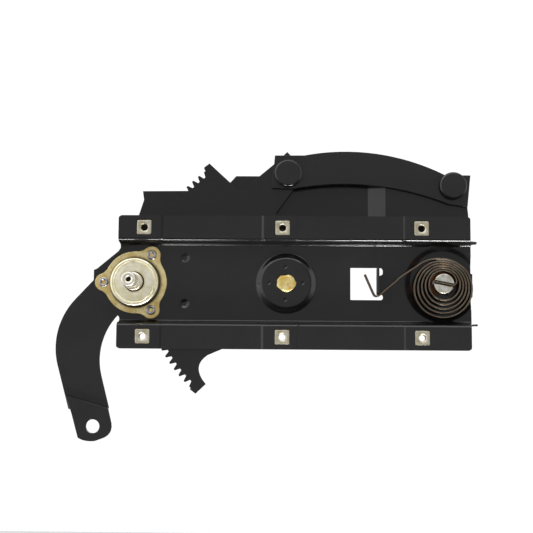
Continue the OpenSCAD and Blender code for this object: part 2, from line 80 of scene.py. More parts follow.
# ---------------------------------------------------------------------------
# Floor and light. A plain pale floor well below the part, a white room seen
# behind it, and soft boxes: two small ones low in front, one above, one behind.
# ---------------------------------------------------------------------------
floor_depth = -1.05
floor_mesh = bpy.data.meshes.new("floor")
floor_mesh.from_pydata([(-4, -4, floor_depth), (4, -4, floor_depth), (4, 4, floor_depth),
                        (-4, 4, floor_depth)], [], [(0, 1, 2, 3)])
floor_finish = bpy.data.materials.new("pale_floor")
floor_finish.use_nodes = True
floor_finish.node_tree.nodes["Principled BSDF"].inputs["Base Color"].default_value = linear("#e6e6e4")
floor_finish.node_tree.nodes["Principled BSDF"].inputs["Roughness"].default_value = 0.8
floor_mesh.materials.append(floor_finish)
floor = bpy.data.objects.new("floor", floor_mesh)
scene.collection.objects.link(floor)
floor.visible_glossy = False

scene.view_settings.view_transform = "Standard"
scene.view_settings.look = "None"
room = bpy.data.worlds.new("room")
scene.world = room
room.use_nodes = True
room_tree = room.node_tree
room_tree.nodes.clear()
way = add(room_tree, "TexCoord")
axes = add(room_tree, "SeparateXYZ", None, {0: way.outputs["Generated"]})


def room_range(axis, start_at, end_at, low, high):
    """Smooth change of the room's brightness along one axis of the direction looked in."""
    return add(room_tree, "MapRange", {"interpolation_type": "SMOOTHSTEP", "From Min": start_at,
                                       "From Max": end_at, "To Min": low, "To Max": high},
               {"Value": axes.outputs[axis]}).outputs[0]


base_level = 0.27
glow = room_range("X", -0.36, -0.66, 0.0, 1.5)
for side_glow in (room_range("X", 0.66, 0.90, 0.0, 1.3), room_range("Z", 0.25, 0.8, 0.0, 0.7),
                  room_range("Y", -0.96, -0.80, 0.32, 0.0)):
    glow = add(room_tree, "Math", {"operation": "ADD"}, {0: glow, 1: side_glow}).outputs[0]
level = add(room_tree, "Math", {"operation": "ADD", 1: base_level}, {0: glow}).outputs[0]
for dimming in (room_range("Y", -0.1, 0.5, 1.0, 0.55), room_range("Z", -0.55, -0.12, 0.16, 1.0)):
    level = add(room_tree, "Math", {"operation": "MULTIPLY"}, {0: level, 1: dimming}).outputs[0]
seen = add(room_tree, "LightPath")
soft_light = add(room_tree, "Background", {"Color": linear("#fbfcff")}, {"Strength": level})
white = add(room_tree, "Background", {"Color": (1, 1, 1, 1), "Strength": 1.05})
both = add(room_tree, "MixShader", None, {0: seen.outputs["Is Camera Ray"], 1: soft_light.outputs[0],
                                          2: white.outputs[0]})
add(room_tree, "OutputWorld", None, {0: both.outputs[0]})


def soft_box(name, place, target, width, height, radiance):
    """Rectangular lamp at place, facing target, with the given radiance."""
    lamp = bpy.data.lights.new(name, "AREA")
    lamp.shape = "RECTANGLE"
    lamp.size, lamp.size_y = width, height
    lamp.energy = radiance * math.pi * width * height
    made = bpy.data.objects.new(name, lamp)
    made.location = place
    direction = np.array(target, float) - np.array(place, float)
    made.rotation_euler = Vector(direction).to_track_quat("-Z", "Y").to_euler()
    scene.collection.objects.link(made)


soft_box("low_right_box", (0.29, -0.32, -0.99), (0.1, 0, 0), 0.36, 0.16, 84.0)
soft_box("low_left_box", (-0.30, -0.32, -0.99), (-0.1, 0, 0), 0.36, 0.16, 34.0)
soft_box("top_front_box", (-0.1, -0.75, 1.15), (0, 0, 0), 1.6, 0.8, 2.2)
soft_box("back_box", (0.3, 1.3, 0.7), (0, 0, 0), 1.4, 1.0, 2.5)

# ---------------------------------------------------------------------------
# Channel plate. Cold-rolled sheet steel 2 mm thick, pressed to a channel with
# coined pads, a raised hub boss and a recess round the post, then dipped in
# black stoving enamel.
# ---------------------------------------------------------------------------
sheet = 2.0
flange_mid, web_mid, bend, slope = 2.2, 16.0, 3.0, math.radians(90 - 11.2)
flange_root, half_height = 45.1, 67.3
wall_run = (web_mid - flange_mid - 2 * bend * (1 - math.cos(slope))) / math.sin(slope)
web_root = flange_root - 2 * bend * math.sin(slope) - wall_run * math.cos(slope)
hub_x, post_x, spindle_x = 4.0, 163.0, -149.75
pads = [(-166.0, -124.0), (-18.0, 14.5), (124.5, 189.0)]
pad_ramp = 3.5
pad_rise = 1.2


def spaced(stops):
    """Rising values through the stops: each stop is (start, step), the last one an end."""
    runs = [np.linspace(a, b, max(1, int(round((b - a) / s))) + 1)[:-1]
            for (a, s), (b, _) in zip(stops, stops[1:])]
    return np.concatenate(runs + [[stops[-1][0]]])


def ease(t):
    """Smooth step from 0 to 1: three t squared less two t cubed."""
    t = np.clip(t, 0, 1)
    return t * t * (3 - 2 * t)


def section_half():
    """Upper half of the channel's section as depth and height."""
    edge = np.linspace(half_height, flange_root, 16)[:-1]
    first = np.linspace(math.pi, math.pi + slope, 9)
    flange_side = np.stack([np.full(edge.size, flange_mid), edge], 1)
    upper_bend = np.stack([flange_mid + bend + bend * np.cos(first),
                           flange_root + bend * np.sin(first)], 1)
    second = np.linspace(slope, 0, 9)
    lower_bend = np.stack([web_mid - bend + bend * np.cos(second),
                           web_root + bend * np.sin(second)], 1)
    t = np.linspace(0, 1, 8)[1:-1, None]
    wall = upper_bend[-1] * (1 - t) + lower_bend[0] * t
    return np.concatenate([flange_side, upper_bend, wall, lower_bend])


def distance_to_box(x, z, x0, x1, z0, z1, r):
    """Distance from the edge of a box with round corners, less than nothing inside."""
    dx = np.abs(x - (x0 + x1) / 2) - (x1 - x0) / 2 + r
    dz = np.abs(z - (z0 + z1) / 2) - (z1 - z0) / 2 + r
    return np.hypot(np.maximum(dx, 0), np.maximum(dz, 0)) + np.minimum(np.maximum(dx, dz), 0) - r


rivet_circle_r, nut_pocket_half = 32.5, 7.35
rivet_places = [(spindle_x + rivet_circle_r * math.cos(math.radians(a)),
                 rivet_circle_r * math.sin(math.radians(a)))
                for a in (60, 180, 300)]
nut_places = [(x, z) for x in (-140.0, 0.0, 140.0) for z in (-55.0, 55.0)]


def distance_to_openings(x, z):
    """Distance from the nearest opening of the plate: window, reliefs, bores and nut holes."""
    found = [distance_to_box(x, z, 69.4, 96.0, -16.6, 16.2, 0.6),
             distance_to_box(x, z, 92.0, 102.5, 8.5, 16.2, 3.0),
             distance_to_box(x, z, 92.0, 102.5, -16.6, -10.9, 2.5),
             np.hypot(x - post_x, z) - 10.05,
             np.hypot(x - spindle_x, z) - 17.0]
    half = nut_pocket_half
    found += [distance_to_box(x, z, a - half, a + half, b - half, b + half, 0.3) for a, b in nut_places]
    return np.minimum.reduce(found)


def surface(points, wrap_u=False, wrap_v=False):
    """Corners and quads of a grid of points, closed on itself along either direction if asked."""
    nu, nv = points.shape[:2]
    a, b = np.meshgrid(np.arange(nu if wrap_u else nu - 1), np.arange(nv if wrap_v else nv - 1),
                       indexing="ij")
    c, d = (a + 1) % nu, (b + 1) % nv
    quads = np.stack([a * nv + b, c * nv + b, c * nv + d, a * nv + d], -1).reshape(-1, 4)
    return points.reshape(-1, 3), quads


def joined(parts):
    """Corners and faces of several parts in one list each."""
    counts = np.cumsum([0] + [len(c) for c, _ in parts])
    return (np.concatenate([c for c, _ in parts]),
            np.concatenate([f + n for (_, f), n in zip(parts, counts)]))


def piece(name, corners, faces, crease=35.0, weld=0.0, outward=True):
    """Mesh object from corners in millimetres and faces, smooth but for edges sharper than crease."""
    mesh = bpy.data.meshes.new(name)
    mesh.from_pydata((np.asarray(corners) * 0.001).tolist(), [], [list(map(int, f)) for f in faces])
    if weld or outward:
        work = bmesh.new()
        work.from_mesh(mesh)
        if weld:
            bmesh.ops.remove_doubles(work, verts=work.verts, dist=weld * 0.001)
        bmesh.ops.recalc_face_normals(work, faces=work.faces)
        work.to_mesh(mesh)
        work.free()
    mesh.shade_smooth()
    mesh.set_sharp_from_angle(angle=math.radians(crease))
    made = bpy.data.objects.new(name, mesh)
    scene.collection.objects.link(made)
    return made


def settle(made, crease=35.0, flat_over=1e9):
    """Fixes a piece's modifiers into its mesh, creases its edges, and keeps big faces (mm2) flat."""
    graph = bpy.context.evaluated_depsgraph_get()
    mesh = bpy.data.meshes.new_from_object(made.evaluated_get(graph))
    made.modifiers.clear()
    made.data = mesh
    mesh.shade_smooth()
    mesh.set_sharp_from_angle(angle=math.radians(crease))
    for face in mesh.polygons:
        if face.area > flat_over * 1e-6:
            face.use_smooth = False
    return made


def channel_middle():
    """Middle surface of the sheet on a grid, with its pads, boss, recess, dimples and bulges.

    The section runs from the upper edge to the lower one; each row is stretched in x so that it
    starts and ends on the plate's outline; depth is then changed by each pressed feature.
    """
    half = section_half()
    web = spaced([(-web_root, 0.7), (-30, 0.75), (30, 0.7), (web_root, 1)])[1:-1][::-1]
    web_rows = np.stack([np.full(web.size, web_mid), web], 1)
    section = np.concatenate([half, web_rows, half[::-1] * (1, -1)])
    depth, height = section.T
    along = spaced([(-193, 2.4), (-168, 1.2), (-148, 1.0), (-132, 1.2), (-118, 2.2), (-107, 0.9),
                    (-93, 2.2), (-34, 1.0), (-28, 0.72), (37, 1.2), (66, 1.33), (69.4, 1.33),
                    (96, 0.93), (102.5, 1.5), (122, 0.9), (133, 1.0), (173, 1.0), (192, 0.7),
                    (196.5, 1)])
    size = np.abs(height)
    left = np.interp(height, [-web_root, -36, -32.4, -17, -15.5, 12.8, 13.9, 34, web_root],
                     [-166, -166, -168.4, -190, -193, -193, -190, -166, -166])
    corner = np.clip(size - (half_height - 3), 0, 3)
    round_off = 3 - np.sqrt(9 - corner ** 2)
    on_flange = depth < 5.2
    left = np.where(size > web_root, -166 + round_off, left)
    right = np.where(size > web_root, np.where(on_flange, 189 - round_off, 192.0), 192.0)
    right = np.where((depth > 6.4) & (depth < 9.8), 196.5, right)
    right = np.where((height < 11) & (height > -13), 193.8, right)
    x = np.repeat(along[:, None], height.size, 1)
    fade = np.clip((-150 - x) / 43, 0, 1)
    x = x + (left[None] + 193) * fade
    fade = np.clip((x - 180) / 16.5, 0, 1)
    x = x + (right[None] - 196.5) * fade
    y = np.repeat(depth[None], along.size, 0)
    z = np.repeat(height[None], along.size, 0)
    gap = distance_to_openings(x, z)
    step = 0.05
    gx = (distance_to_openings(x + step, z) - distance_to_openings(x - step, z)) / (2 * step)
    gz = (distance_to_openings(x, z + step) - distance_to_openings(x, z - step)) / (2 * step)
    near = (np.abs(gap) < 0.62) & (np.abs(z) < half_height - 2)
    x = np.where(near, x - gap * gx, x)
    z = np.where(near, z - gap * gz, z)
    on_pad = np.maximum.reduce([ease((x - a + pad_ramp) / pad_ramp) * ease((b + pad_ramp - x) / pad_ramp)
                                for a, b in pads])
    fall = np.clip(1 - (depth - flange_mid) / (web_mid - flange_mid), 0, 1)
    y = y - pad_rise * on_pad * fall[None] ** 1.5
    in_web = (np.abs(z) <= web_root + 2.6) & (y > 12)
    boss = np.hypot(x - hub_x, z)
    y = y - np.where(in_web, 4.0 * ease((31.4 - boss) / 7.8), 0)
    for dx, dz in ((-0.6, 16.4), (-17.5, 0.0), (16.8, 0.0), (-0.8, -17.2)):
        pit = np.hypot(x - hub_x - dx, z - dz)
        y = y + np.where(in_web, 0.9 * np.exp(-(pit / 1.7) ** 4), 0)
    for dx, dz in ((-99.7, 25.6), (-99.6, -21.4)):
        pit = np.hypot(x - dx, z - dz)
        y = y + 1.3 * ease((5.4 - pit) / 3.6) - 0.25 * np.exp(-((pit - 6.0) / 1.6) ** 2)
    recess = np.hypot(x - post_x, z)
    y = y + np.where(in_web, 2.0 * ease((40.0 - recess) / 7.5), 0)
    bulge = np.exp(-((x - (post_x - 3)) / 10.5) ** 4)
    lean = np.interp(depth, [4, 9, 14, 16], [0, 1.0, 1.5, 1.0])[None]
    foot = ease((np.abs(z) - 34) / 4)
    z = z + np.sign(z) * bulge * lean * foot * 1.7
    return np.stack([x, y, z], -1)


middle = channel_middle()
corners, faces = surface(middle)
centres = corners[faces].mean(1)
kept = distance_to_openings(centres[:, 0], centres[:, 2]) > 0
channel = piece("channel_sheet", corners, faces[kept], outward=False)
loose = bmesh.new()
loose.from_mesh(channel.data)
bmesh.ops.delete(loose, geom=[v for v in loose.verts if not v.link_faces], context="VERTS")
loose.to_mesh(channel.data)
loose.free()
thick = channel.modifiers.new("sheet", "SOLIDIFY")
thick.thickness, thick.offset = sheet * 0.001, 0.0
settle(channel, 40)


def rounded_box(x0, x1, y0, y1, z0, z1):
    """Corners and faces of a box, for a small bent tab."""
    x, y, z = np.meshgrid([x0, x1], [y0, y1], [z0, z1], indexing="ij")
    return (np.stack([x.ravel(), y.ravel(), z.ravel()], 1),
            [(0, 1, 3, 2), (4, 6, 7, 5), (0, 4, 5, 1), (2, 3, 7, 6), (0, 2, 6, 4), (1, 5, 7, 3)])


tab = piece("spring_tab", *rounded_box(96, 98, 5, 16.9, -9.5, 16))
soft_edge = tab.modifiers.new("edge", "BEVEL")
soft_edge.width, soft_edge.segments = 0.0006, 3
settle(tab)

enamel = bpy.data.materials.new("black_stoving_enamel")


def blotches(tree, place, millimetres, detail=3.0):
    """Noise whose main feature is the given number of millimetres across."""
    return add(tree, "TexNoise", {"Scale": 1000.0 / millimetres, "Detail": detail, "Roughness": 0.55},
               {"Vector": place}).outputs["Fac"]


def between(tree, value, low, high, to_low, to_high):
    """Maps a value from one range to another."""
    return add(tree, "MapRange", {"From Min": low, "From Max": high, "To Min": to_low, "To Max": to_high},
               {"Value": value}).outputs[0]


def shade(tree, factor, first, second):
    """Colour between two, by a factor; each is a hex code or another node's colour."""
    settings = {"data_type": "RGBA"}
    links = {0: factor}
    for slot_number, colour in ((6, first), (7, second)):
        if isinstance(colour, str):
            settings[slot_number] = linear(colour)
        else:
            links[slot_number] = colour
    return add(tree, "Mix", settings, links).outputs[2]


def relief(tree, height, strength, millimetres, under=None):
    """Bump from a height, with its real size."""
    links = {"Height": height}
    if under is not None:
        links["Normal"] = under
    return add(tree, "Bump", {"Strength": strength, "Distance": millimetres * 0.001}, links).outputs[0]


def start(material):
    """Empties a material's tree and gives back the tree, its shader and the object coordinates."""
    material.use_nodes = True
    tree = material.node_tree
    shader = tree.nodes["Principled BSDF"]
    return tree, shader, add(tree, "TexCoord").outputs["Object"]


def wire(tree, shader, **inputs):
    """Links outputs to the shader's inputs, by name with _ for a space."""
    for name, source in inputs.items():
        tree.links.new(source, shader.inputs[name.replace("_", " ")])


# Baked black enamel: near black, glossy, slightly clouded, with orange peel and fine dust
tree, shader, at = start(enamel)
cloud = blotches(tree, at, 38)
dust = blotches(tree, at, 0.9, 2)
ground = shade(tree, cloud, "#0d0d0e", "#181716")
speck = between(tree, dust, 0.66, 0.74, 0.0, 0.5)
wire(tree, shader, Base_Color=shade(tree, speck, ground, "#2c2a27"),
     Roughness=between(tree, blotches(tree, at, 14), 0.3, 0.7, 0.13, 0.20),
     Normal=relief(tree, blotches(tree, at, 2.2, 2), 0.04, 0.2))
shader.inputs["IOR"].default_value = 1.45

channel.data.materials.clear()
channel.data.materials.append(enamel)
tab.data.materials.append(enamel)
for made in (channel, tab):
    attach(made, "plate")
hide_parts("channel_plate")

# ---------------------------------------------------------------------------
# Clinch nuts. Six square nuts of pale zinc plated steel, pressed into the pads
# from behind, so that the square pilot shows flush with a round chamfered hole.
# ---------------------------------------------------------------------------
nut_half, nut_bore = 7.3, 3.4


def square_radius(angle, half, corner):
    """Distance from the middle to the side of a square with rounded corners."""
    power = 2 + 14 * (1 - corner)
    return half / (np.abs(np.cos(angle)) ** power + np.abs(np.sin(angle)) ** power) ** (1 / power)


def nut_surface(cx, cz):
    """Rings from the bore's back to its front, over the chamfer and the face, and down the sides."""
    angle = np.linspace(0, 2 * math.pi, 64, endpoint=False) + math.pi / 4
    square = square_radius(angle, nut_half, 0.2)
    back = square_radius(angle, 8.2, 0.1)
    rings = [(np.full(64, nut_bore), 7.5), (np.full(64, nut_bore), 1.1),
             (np.full(64, nut_bore + 0.5), 0.35), (np.full(64, nut_bore + 1.1), 0.12),
             (square * 0.82, 0.0), (square - 0.5, 0.02), (square - 0.12, 0.18), (square, 0.5),
             (square, 2.05), (back, 2.05), (back, 7.2), (back - 0.3, 7.5)]
    grid = np.stack([np.stack([cx + r * np.cos(angle), np.full(64, y),
                               cz + r * np.sin(angle)], 1) for r, y in rings], 1)
    return surface(grid, True, True)


nuts = piece("clinch_nuts", *joined([nut_surface(x, z) for x, z in nut_places]), 40)

# Pale zinc: silvery with a straw tint, bruised and matt where the press struck it
zinc_pale = bpy.data.materials.new("pale_zinc_plating")
tree, shader, at = start(zinc_pale)
straw = shade(tree, between(tree, blotches(tree, at, 5), 0.38, 0.66, 0, 1), "#c6c3b4", "#b2a682")
wire(tree, shader,
     Base_Color=shade(tree, between(tree, blotches(tree, at, 1.6), 0.56, 0.72, 0, 0.8), straw, "#7f7868"),
     Roughness=between(tree, blotches(tree, at, 2.5), 0.3, 0.7, 0.34, 0.55),
     Normal=relief(tree, blotches(tree, at, 1.3), 0.35, 0.15))
shader.inputs["Metallic"].default_value = 1.0
nuts.data.materials.append(zinc_pale)
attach(nuts, "plate")
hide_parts("pierce_nuts")

# ---------------------------------------------------------------------------
# Hub stud and its washer. Turned steel, yellow zinc plated, its head peened over
# the boss by hand, so that it is uneven and stained orange.
# ---------------------------------------------------------------------------


def softened(profile, closed=False, steps=5):
    """Profile of (radius, depth, ease) corners, each made a curve that starts and ends that far off."""
    points = np.array([p[:2] for p in profile], float)
    out = []
    for i, (_, _, size) in enumerate(profile):
        if size == 0 or (not closed and i in (0, len(profile) - 1)):
            out.append(points[i][None])
            continue
        before, after = points[i - 1], points[(i + 1) % len(points)]
        a = points[i] + size * (before - points[i]) / np.linalg.norm(before - points[i])
        b = points[i] + size * (after - points[i]) / np.linalg.norm(after - points[i])
        t = np.linspace(0, 1, steps)[:, None]
        out.append((1 - t) ** 2 * a + 2 * t * (1 - t) * points[i] + t * t * b)
    return np.concatenate(out)


def turned(profile, at, closed=False, around=96, steps=5):
    """A lathe surface: the softened profile of radius and depth, spun about a Y axis through at."""
    line = softened(profile, closed, steps)
    angle = np.linspace(0, 2 * math.pi, around, endpoint=False)[:, None]
    grid = np.stack([at[0] + line[None, :, 0] * np.cos(angle),
                     np.repeat(line[None, :, 1], around, 0),
                     at[1] + line[None, :, 0] * np.sin(angle)], -1)
    return surface(grid, True, closed)


stud_profile = [(0, 10.1, 0), (3.2, 10.0, 0.6), (7.6, 9.7, 0.8), (9.2, 10.4, 0.8), (9.4, 10.95, 0),
                (6, 11.2, 0), (6, 13, 0), (12, 13, 0), (12, 16.9, 0), (8, 16.9, 0), (8, 23.2, 0),
                (13.6, 23.2, 0.4), (14, 24.0, 0.4), (14, 25.5, 0.6), (0, 25.5, 0)]
corners, faces = turned(stud_profile, (hub_x, 0), around=72, steps=6)
off = corners - (hub_x, 0, 0)
turn = np.arctan2(off[:, 2], off[:, 0])
reach = np.hypot(off[:, 0], off[:, 2])
head = corners[:, 1] < 11.1
outer = np.where(head, np.clip(reach / 9.4, 0, 1), 0)
swell = 1 + outer * (0.045 * np.cos(2 * turn + 0.4) + 0.03 * np.cos(5 * turn + 1) + 0.02 * np.cos(9 * turn))
corners = np.stack([hub_x + off[:, 0] * swell, corners[:, 1] + outer * 0.18 * np.cos(3 * turn + 1.2)
                    - 0.35 * head * np.exp(-((off[:, 0] - 3) ** 2 + (off[:, 2] - 2) ** 2) / 7)
                    + 0.30 * head * np.exp(-((off[:, 0] - 2) ** 2 + (off[:, 2] + 3) ** 2) / 5),
                    off[:, 2] * swell * np.where(head, 0.92, 1)], 1)
stud_head = piece("stud_head", corners, faces, 60, weld=0.001)

# Yellow passivated zinc on the stud: straw gold, with orange stains left by the peening
stud_zinc = bpy.data.materials.new("peened_yellow_zinc")
tree, shader, at = start(stud_zinc)
gold = shade(tree, between(tree, blotches(tree, at, 6), 0.35, 0.65, 0, 1), "#d9cc92", "#c6ab5a")
stained = shade(tree, between(tree, blotches(tree, at, 4.5), 0.54, 0.66, 0, 0.85), gold, "#b8741f")
wire(tree, shader, Base_Color=stained,
     Roughness=between(tree, blotches(tree, at, 3), 0.3, 0.7, 0.35, 0.6),
     Normal=relief(tree, blotches(tree, at, 2.4), 0.5, 0.3))
shader.inputs["Metallic"].default_value = 0.85
stud_head.data.materials.append(stud_zinc)
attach(stud_head, "plate")
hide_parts("hub_stud")
nodes["hub_washer"].data.materials.clear()
nodes["hub_washer"].data.materials.append(stud_zinc)

# ---------------------------------------------------------------------------
# Brake housing. A cup deep drawn from 2 mm steel with a three-eared flange, a
# raised bead round its face, plated in yellow passivated zinc.
# ---------------------------------------------------------------------------
housing_front, plate_front = 12.5, 15.0
flange_r, ear_r, fillet_r, ear_ends = 32.0, 9.0, 14.0, math.radians(13.3)


def ear_outline(angle):
    """Radius of the flange: a circle, three ears, and a hollow fillet of 14 on each side of an ear."""
    away = np.abs((angle - math.radians(60) + math.pi / 3) % (2 * math.pi / 3) - math.pi / 3)
    ear_far, hollow_far, both_r = rivet_circle_r, flange_r + fillet_r, ear_r + fillet_r
    join = math.acos((hollow_far ** 2 + ear_far ** 2 - both_r ** 2) / (2 * hollow_far * ear_far))
    ear = ear_far * np.cos(away) + np.sqrt(np.maximum(ear_r ** 2 - (ear_far * np.sin(away)) ** 2, 0))
    past = away - join
    hollow_root = np.sqrt(np.maximum(fillet_r ** 2 - (hollow_far * np.sin(past)) ** 2, 0))
    hollow = hollow_far * np.cos(past) - hollow_root
    return np.where(away < ear_ends, ear, np.where(away < join, hollow, flange_r))


angle = np.linspace(0, 2 * math.pi, 360, endpoint=False)
rim = ear_outline(angle)
lip = [(np.full(360, 22.0), plate_front), (np.full(360, 22.0), housing_front),
       (rim * 0.86 + 3.2, housing_front), (rim - 0.9, housing_front),
       (rim - 0.35, housing_front + 0.12), (rim - 0.06, housing_front + 0.5),
       (rim, housing_front + 1.0), (rim, plate_front)]
grid = np.stack([np.stack([spindle_x + r * np.cos(angle), np.full(360, y), r * np.sin(angle)], 1)
                 for r, y in lip], 1)
flange_plate = piece("housing_flange", *surface(grid, True, True), 40)
cup_profile = [(9.8, 5.8, 0), (9.8, 3.7, 0.5), (11.0, 3.3, 0.6), (15.5, 3.55, 2), (20.3, 4.05, 0.8),
               (21.3, 3.0, 0.6), (23.1, 3.0, 0.8), (24.4, 4.2, 0.9), (24.6, 11.2, 1.0), (25.3, 12.3, 0.5),
               (26.4, 12.6, 0), (22.6, 13.0, 0), (22.5, 5.8, 0.6)]
cup = piece("housing_cup", *turned(cup_profile, (spindle_x, 0), closed=True, around=128), 50)

# Yellow passivated zinc on drawn steel: gold on the flange, paler where the cup's face was rubbed,
# with fine rings left by the drawing tool, and painted shade darkening the foot of the cup's wall
zinc_yellow = bpy.data.materials.new("yellow_passivated_zinc")
tree, shader, at = start(zinc_yellow)
centred = add(tree, "Mapping", {"Location": (-spindle_x * 0.001, 0, 0)}, {"Vector": at}).outputs[0]
parts = add(tree, "SeparateXYZ", None, {0: centred})
square_x = add(tree, "Math", {"operation": "POWER", 1: 2.0}, {0: parts.outputs["X"]}).outputs[0]
square_z = add(tree, "Math", {"operation": "POWER", 1: 2.0}, {0: parts.outputs["Z"]}).outputs[0]
far2 = add(tree, "Math", {"operation": "ADD"}, {0: square_x, 1: square_z}).outputs[0]
far = add(tree, "Math", {"operation": "SQRT"}, {0: far2}).outputs[0]
gold = shade(tree, between(tree, blotches(tree, at, 9), 0.36, 0.64, 0, 1), "#e3d29c", "#c9b06c")
gold = shade(tree, between(tree, blotches(tree, at, 3.5), 0.58, 0.72, 0, 0.5), gold, "#9c7a3a")
# Painted shade: the gold turns near black round the foot of the cup's wall, where it meets the flange
corner = between(tree, far, 0.0252, 0.0276, 1.0, 0.0)
gold = shade(tree, corner, gold, "#2b2417")
pale = shade(tree, between(tree, blotches(tree, at, 7), 0.36, 0.64, 0, 1), "#ebe6d2", "#dbd3ad")
face_share = between(tree, far, 0.0240, 0.0247, 1.0, 0.0)
wire(tree, shader, Base_Color=shade(tree, face_share, gold, pale),
     Roughness=between(tree, blotches(tree, at, 4), 0.3, 0.7, 0.30, 0.46))
turns = add(tree, "Math", {"operation": "MULTIPLY", 1: 2 * math.pi / 0.0011}, {0: far}).outputs[0]
rings = add(tree, "Math", {"operation": "SINE"}, {0: turns}).outputs[0]
wire(tree, shader, Normal=relief(tree, blotches(tree, at, 1.6), 0.12, 0.2,
                                 relief(tree, rings, 0.05, 0.05)))
shader.inputs["Metallic"].default_value = 0.92
for made in (flange_plate, cup):
    made.data.materials.append(zinc_yellow)
    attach(made, "plate")
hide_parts("brake_housing")

# ---------------------------------------------------------------------------
# Housing rivets. Three tubular rivets of bright steel, set from the front, each
# with a rolled rim round a yellow plated hollow.
# ---------------------------------------------------------------------------
rivet_profile = [(0, 12.6, 0), (2.1, 12.5, 0.3), (2.45, 11.3, 0.3), (3.3, 10.75, 0.5), (4.6, 11.1, 0.6),
                 (5.05, 12.1, 0.3), (5.0, 12.6, 0)]
tail_profile = [(4.5, 16.9, 0), (4.4, 18.0, 0.4), (3.2, 18.3, 0.4), (0, 18.2, 0)]
rivet_parts = [turned(profile, spot, around=48) for spot in rivet_places
               for profile in (rivet_profile, tail_profile)]
rivets = piece("rolled_rivets", *joined(rivet_parts), 60, weld=0.001)

# Bright steel of the rolled rim, with the yellow plating left in the hollow
rivet_steel = bpy.data.materials.new("rolled_rivet_steel")
tree, shader, at = start(rivet_steel)
hollow = None
for x, z in rivet_places:
    near = add(tree, "VectorMath", {"operation": "DISTANCE", 1: (x * 0.001, 0.0122, z * 0.001)}, {0: at})
    inside = between(tree, near.outputs["Value"], 0.0021, 0.0026, 1.0, 0.0)
    hollow = inside if hollow is None else add(tree, "Math", {"operation": "MAXIMUM"},
                                               {0: hollow, 1: inside}).outputs[0]
wire(tree, shader, Base_Color=shade(tree, hollow, "#9c9ca0", "#b98a34"),
     Roughness=between(tree, blotches(tree, at, 1.5), 0.3, 0.7, 0.24, 0.4))
shader.inputs["Metallic"].default_value = 1.0
rivets.data.materials.append(rivet_steel)
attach(rivets, "plate")
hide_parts("housing_rivets")

# ---------------------------------------------------------------------------
# Crank spindle. Turned steel with rolled splines for the handle, a chamfered
# tip with a tapped hole, a collar behind, and the brake's driver inside.
# ---------------------------------------------------------------------------
tip_depth, spline_count, spline_r, spline_deep = -32.5, 24, 7.4, 0.62


def splined_surface():
    """Radius by angle and depth: a flat-topped wave on the splined stretch, plain on the others."""
    around = spline_count * 10
    turn_angle = np.arange(around) / around * 2 * math.pi
    wave = np.clip(np.cos(turn_angle * spline_count) * 1.5, -1, 1) * 0.5 - 0.5
    rows = [(2.5, -16.5, 0), (2.5, tip_depth + 0.8, 0), (2.9, tip_depth + 0.4, 0), (3.4, tip_depth, 0),
            (5.9, tip_depth, 0), (6.5, tip_depth + 0.2, 0.3), (7.1, tip_depth + 0.7, 0.7),
            (spline_r, tip_depth + 1.4, 1), (spline_r, -10.4, 1), (7.2, -9.6, 0.6), (6.6, -9.2, 0),
            (6.6, -6.2, 0), (8.3, -6.0, 0), (8.8, -5.8, 0), (9.0, -5.3, 0), (9.0, 7.9, 0)]
    rings = [(r + spline_deep * wave * share, y) for r, y, share in rows]
    grid = np.stack([np.stack([spindle_x + r * np.cos(turn_angle), np.full(around, y),
                               r * np.sin(turn_angle)], 1) for r, y in rings], 1)
    return surface(grid, True)


spindle = piece("splined_spindle", *splined_surface(), 50)
driver_profile = [(9.0, 7.6, 0), (16.2, 8.0, 0.5), (16.2, 10.4, 0.5), (5.0, 10.4, 0), (5.0, 25.0, 0),
                  (7.0, 24.4, 0.3), (7.0, 25.9, 0.5), (0, 25.9, 0)]
driver = piece("spindle_driver", *turned(driver_profile, (spindle_x, 0), around=96), 40, weld=0.001)

# Pale yellow zinc on turned steel: silvery, in blotches of two pale tones
spindle_finish = bpy.data.materials.new("turned_zinc_plated_steel")
tree, shader, at = start(spindle_finish)
base = shade(tree, between(tree, blotches(tree, at, 4), 0.38, 0.62, 0, 1), "#f3f0e8", "#ddd5bd")
wire(tree, shader, Base_Color=base, Roughness=between(tree, blotches(tree, at, 2), 0.3, 0.7, 0.26, 0.42),
     Normal=relief(tree, blotches(tree, at, 0.9), 0.15, 0.1))
shader.inputs["Metallic"].default_value = 1.0
for made in (spindle, driver):
    made.data.materials.append(spindle_finish)
    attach(made, "crank")
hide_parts("crank_spindle")

# ---------------------------------------------------------------------------
# Clock spring. A strip of spring steel wound cold in five turns, hooked on the
# plate's tab at one end and turned into the post's slot at the other. Its outer
# part stays with the plate and its inner end turns with the post.
# ---------------------------------------------------------------------------
strip_t, strip_low, strip_high = 1.8, 6.2, 14.7
turns_wound, first_r, pitch_r = 5.2, 30.9, 3.38
end_turn = math.radians(90 - 360 * (turns_wound - 5))
end_r = first_r - pitch_r * turns_wound


def coil_line():
    """Middle of the coils: radius falls evenly with the turn, the centre moves up to the post."""
    t = np.linspace(0, turns_wound, 420)
    turn_angle = math.pi / 2 - 2 * math.pi * t
    last = ease((t - (turns_wound - 0.35)) / 0.2)
    r = (first_r - pitch_r * t) * (1 - last) + end_r * last
    hang = (1 - (t / turns_wound) ** 4) * (1 - last)
    aside, below = hang * (-1.9 + 0.55 * t - 0.04 * t * t), hang * (-5.6 + 1.25 * t - 0.11 * t * t)
    return np.stack([post_x + aside + r * np.cos(turn_angle), below + r * np.sin(turn_angle)], 1)


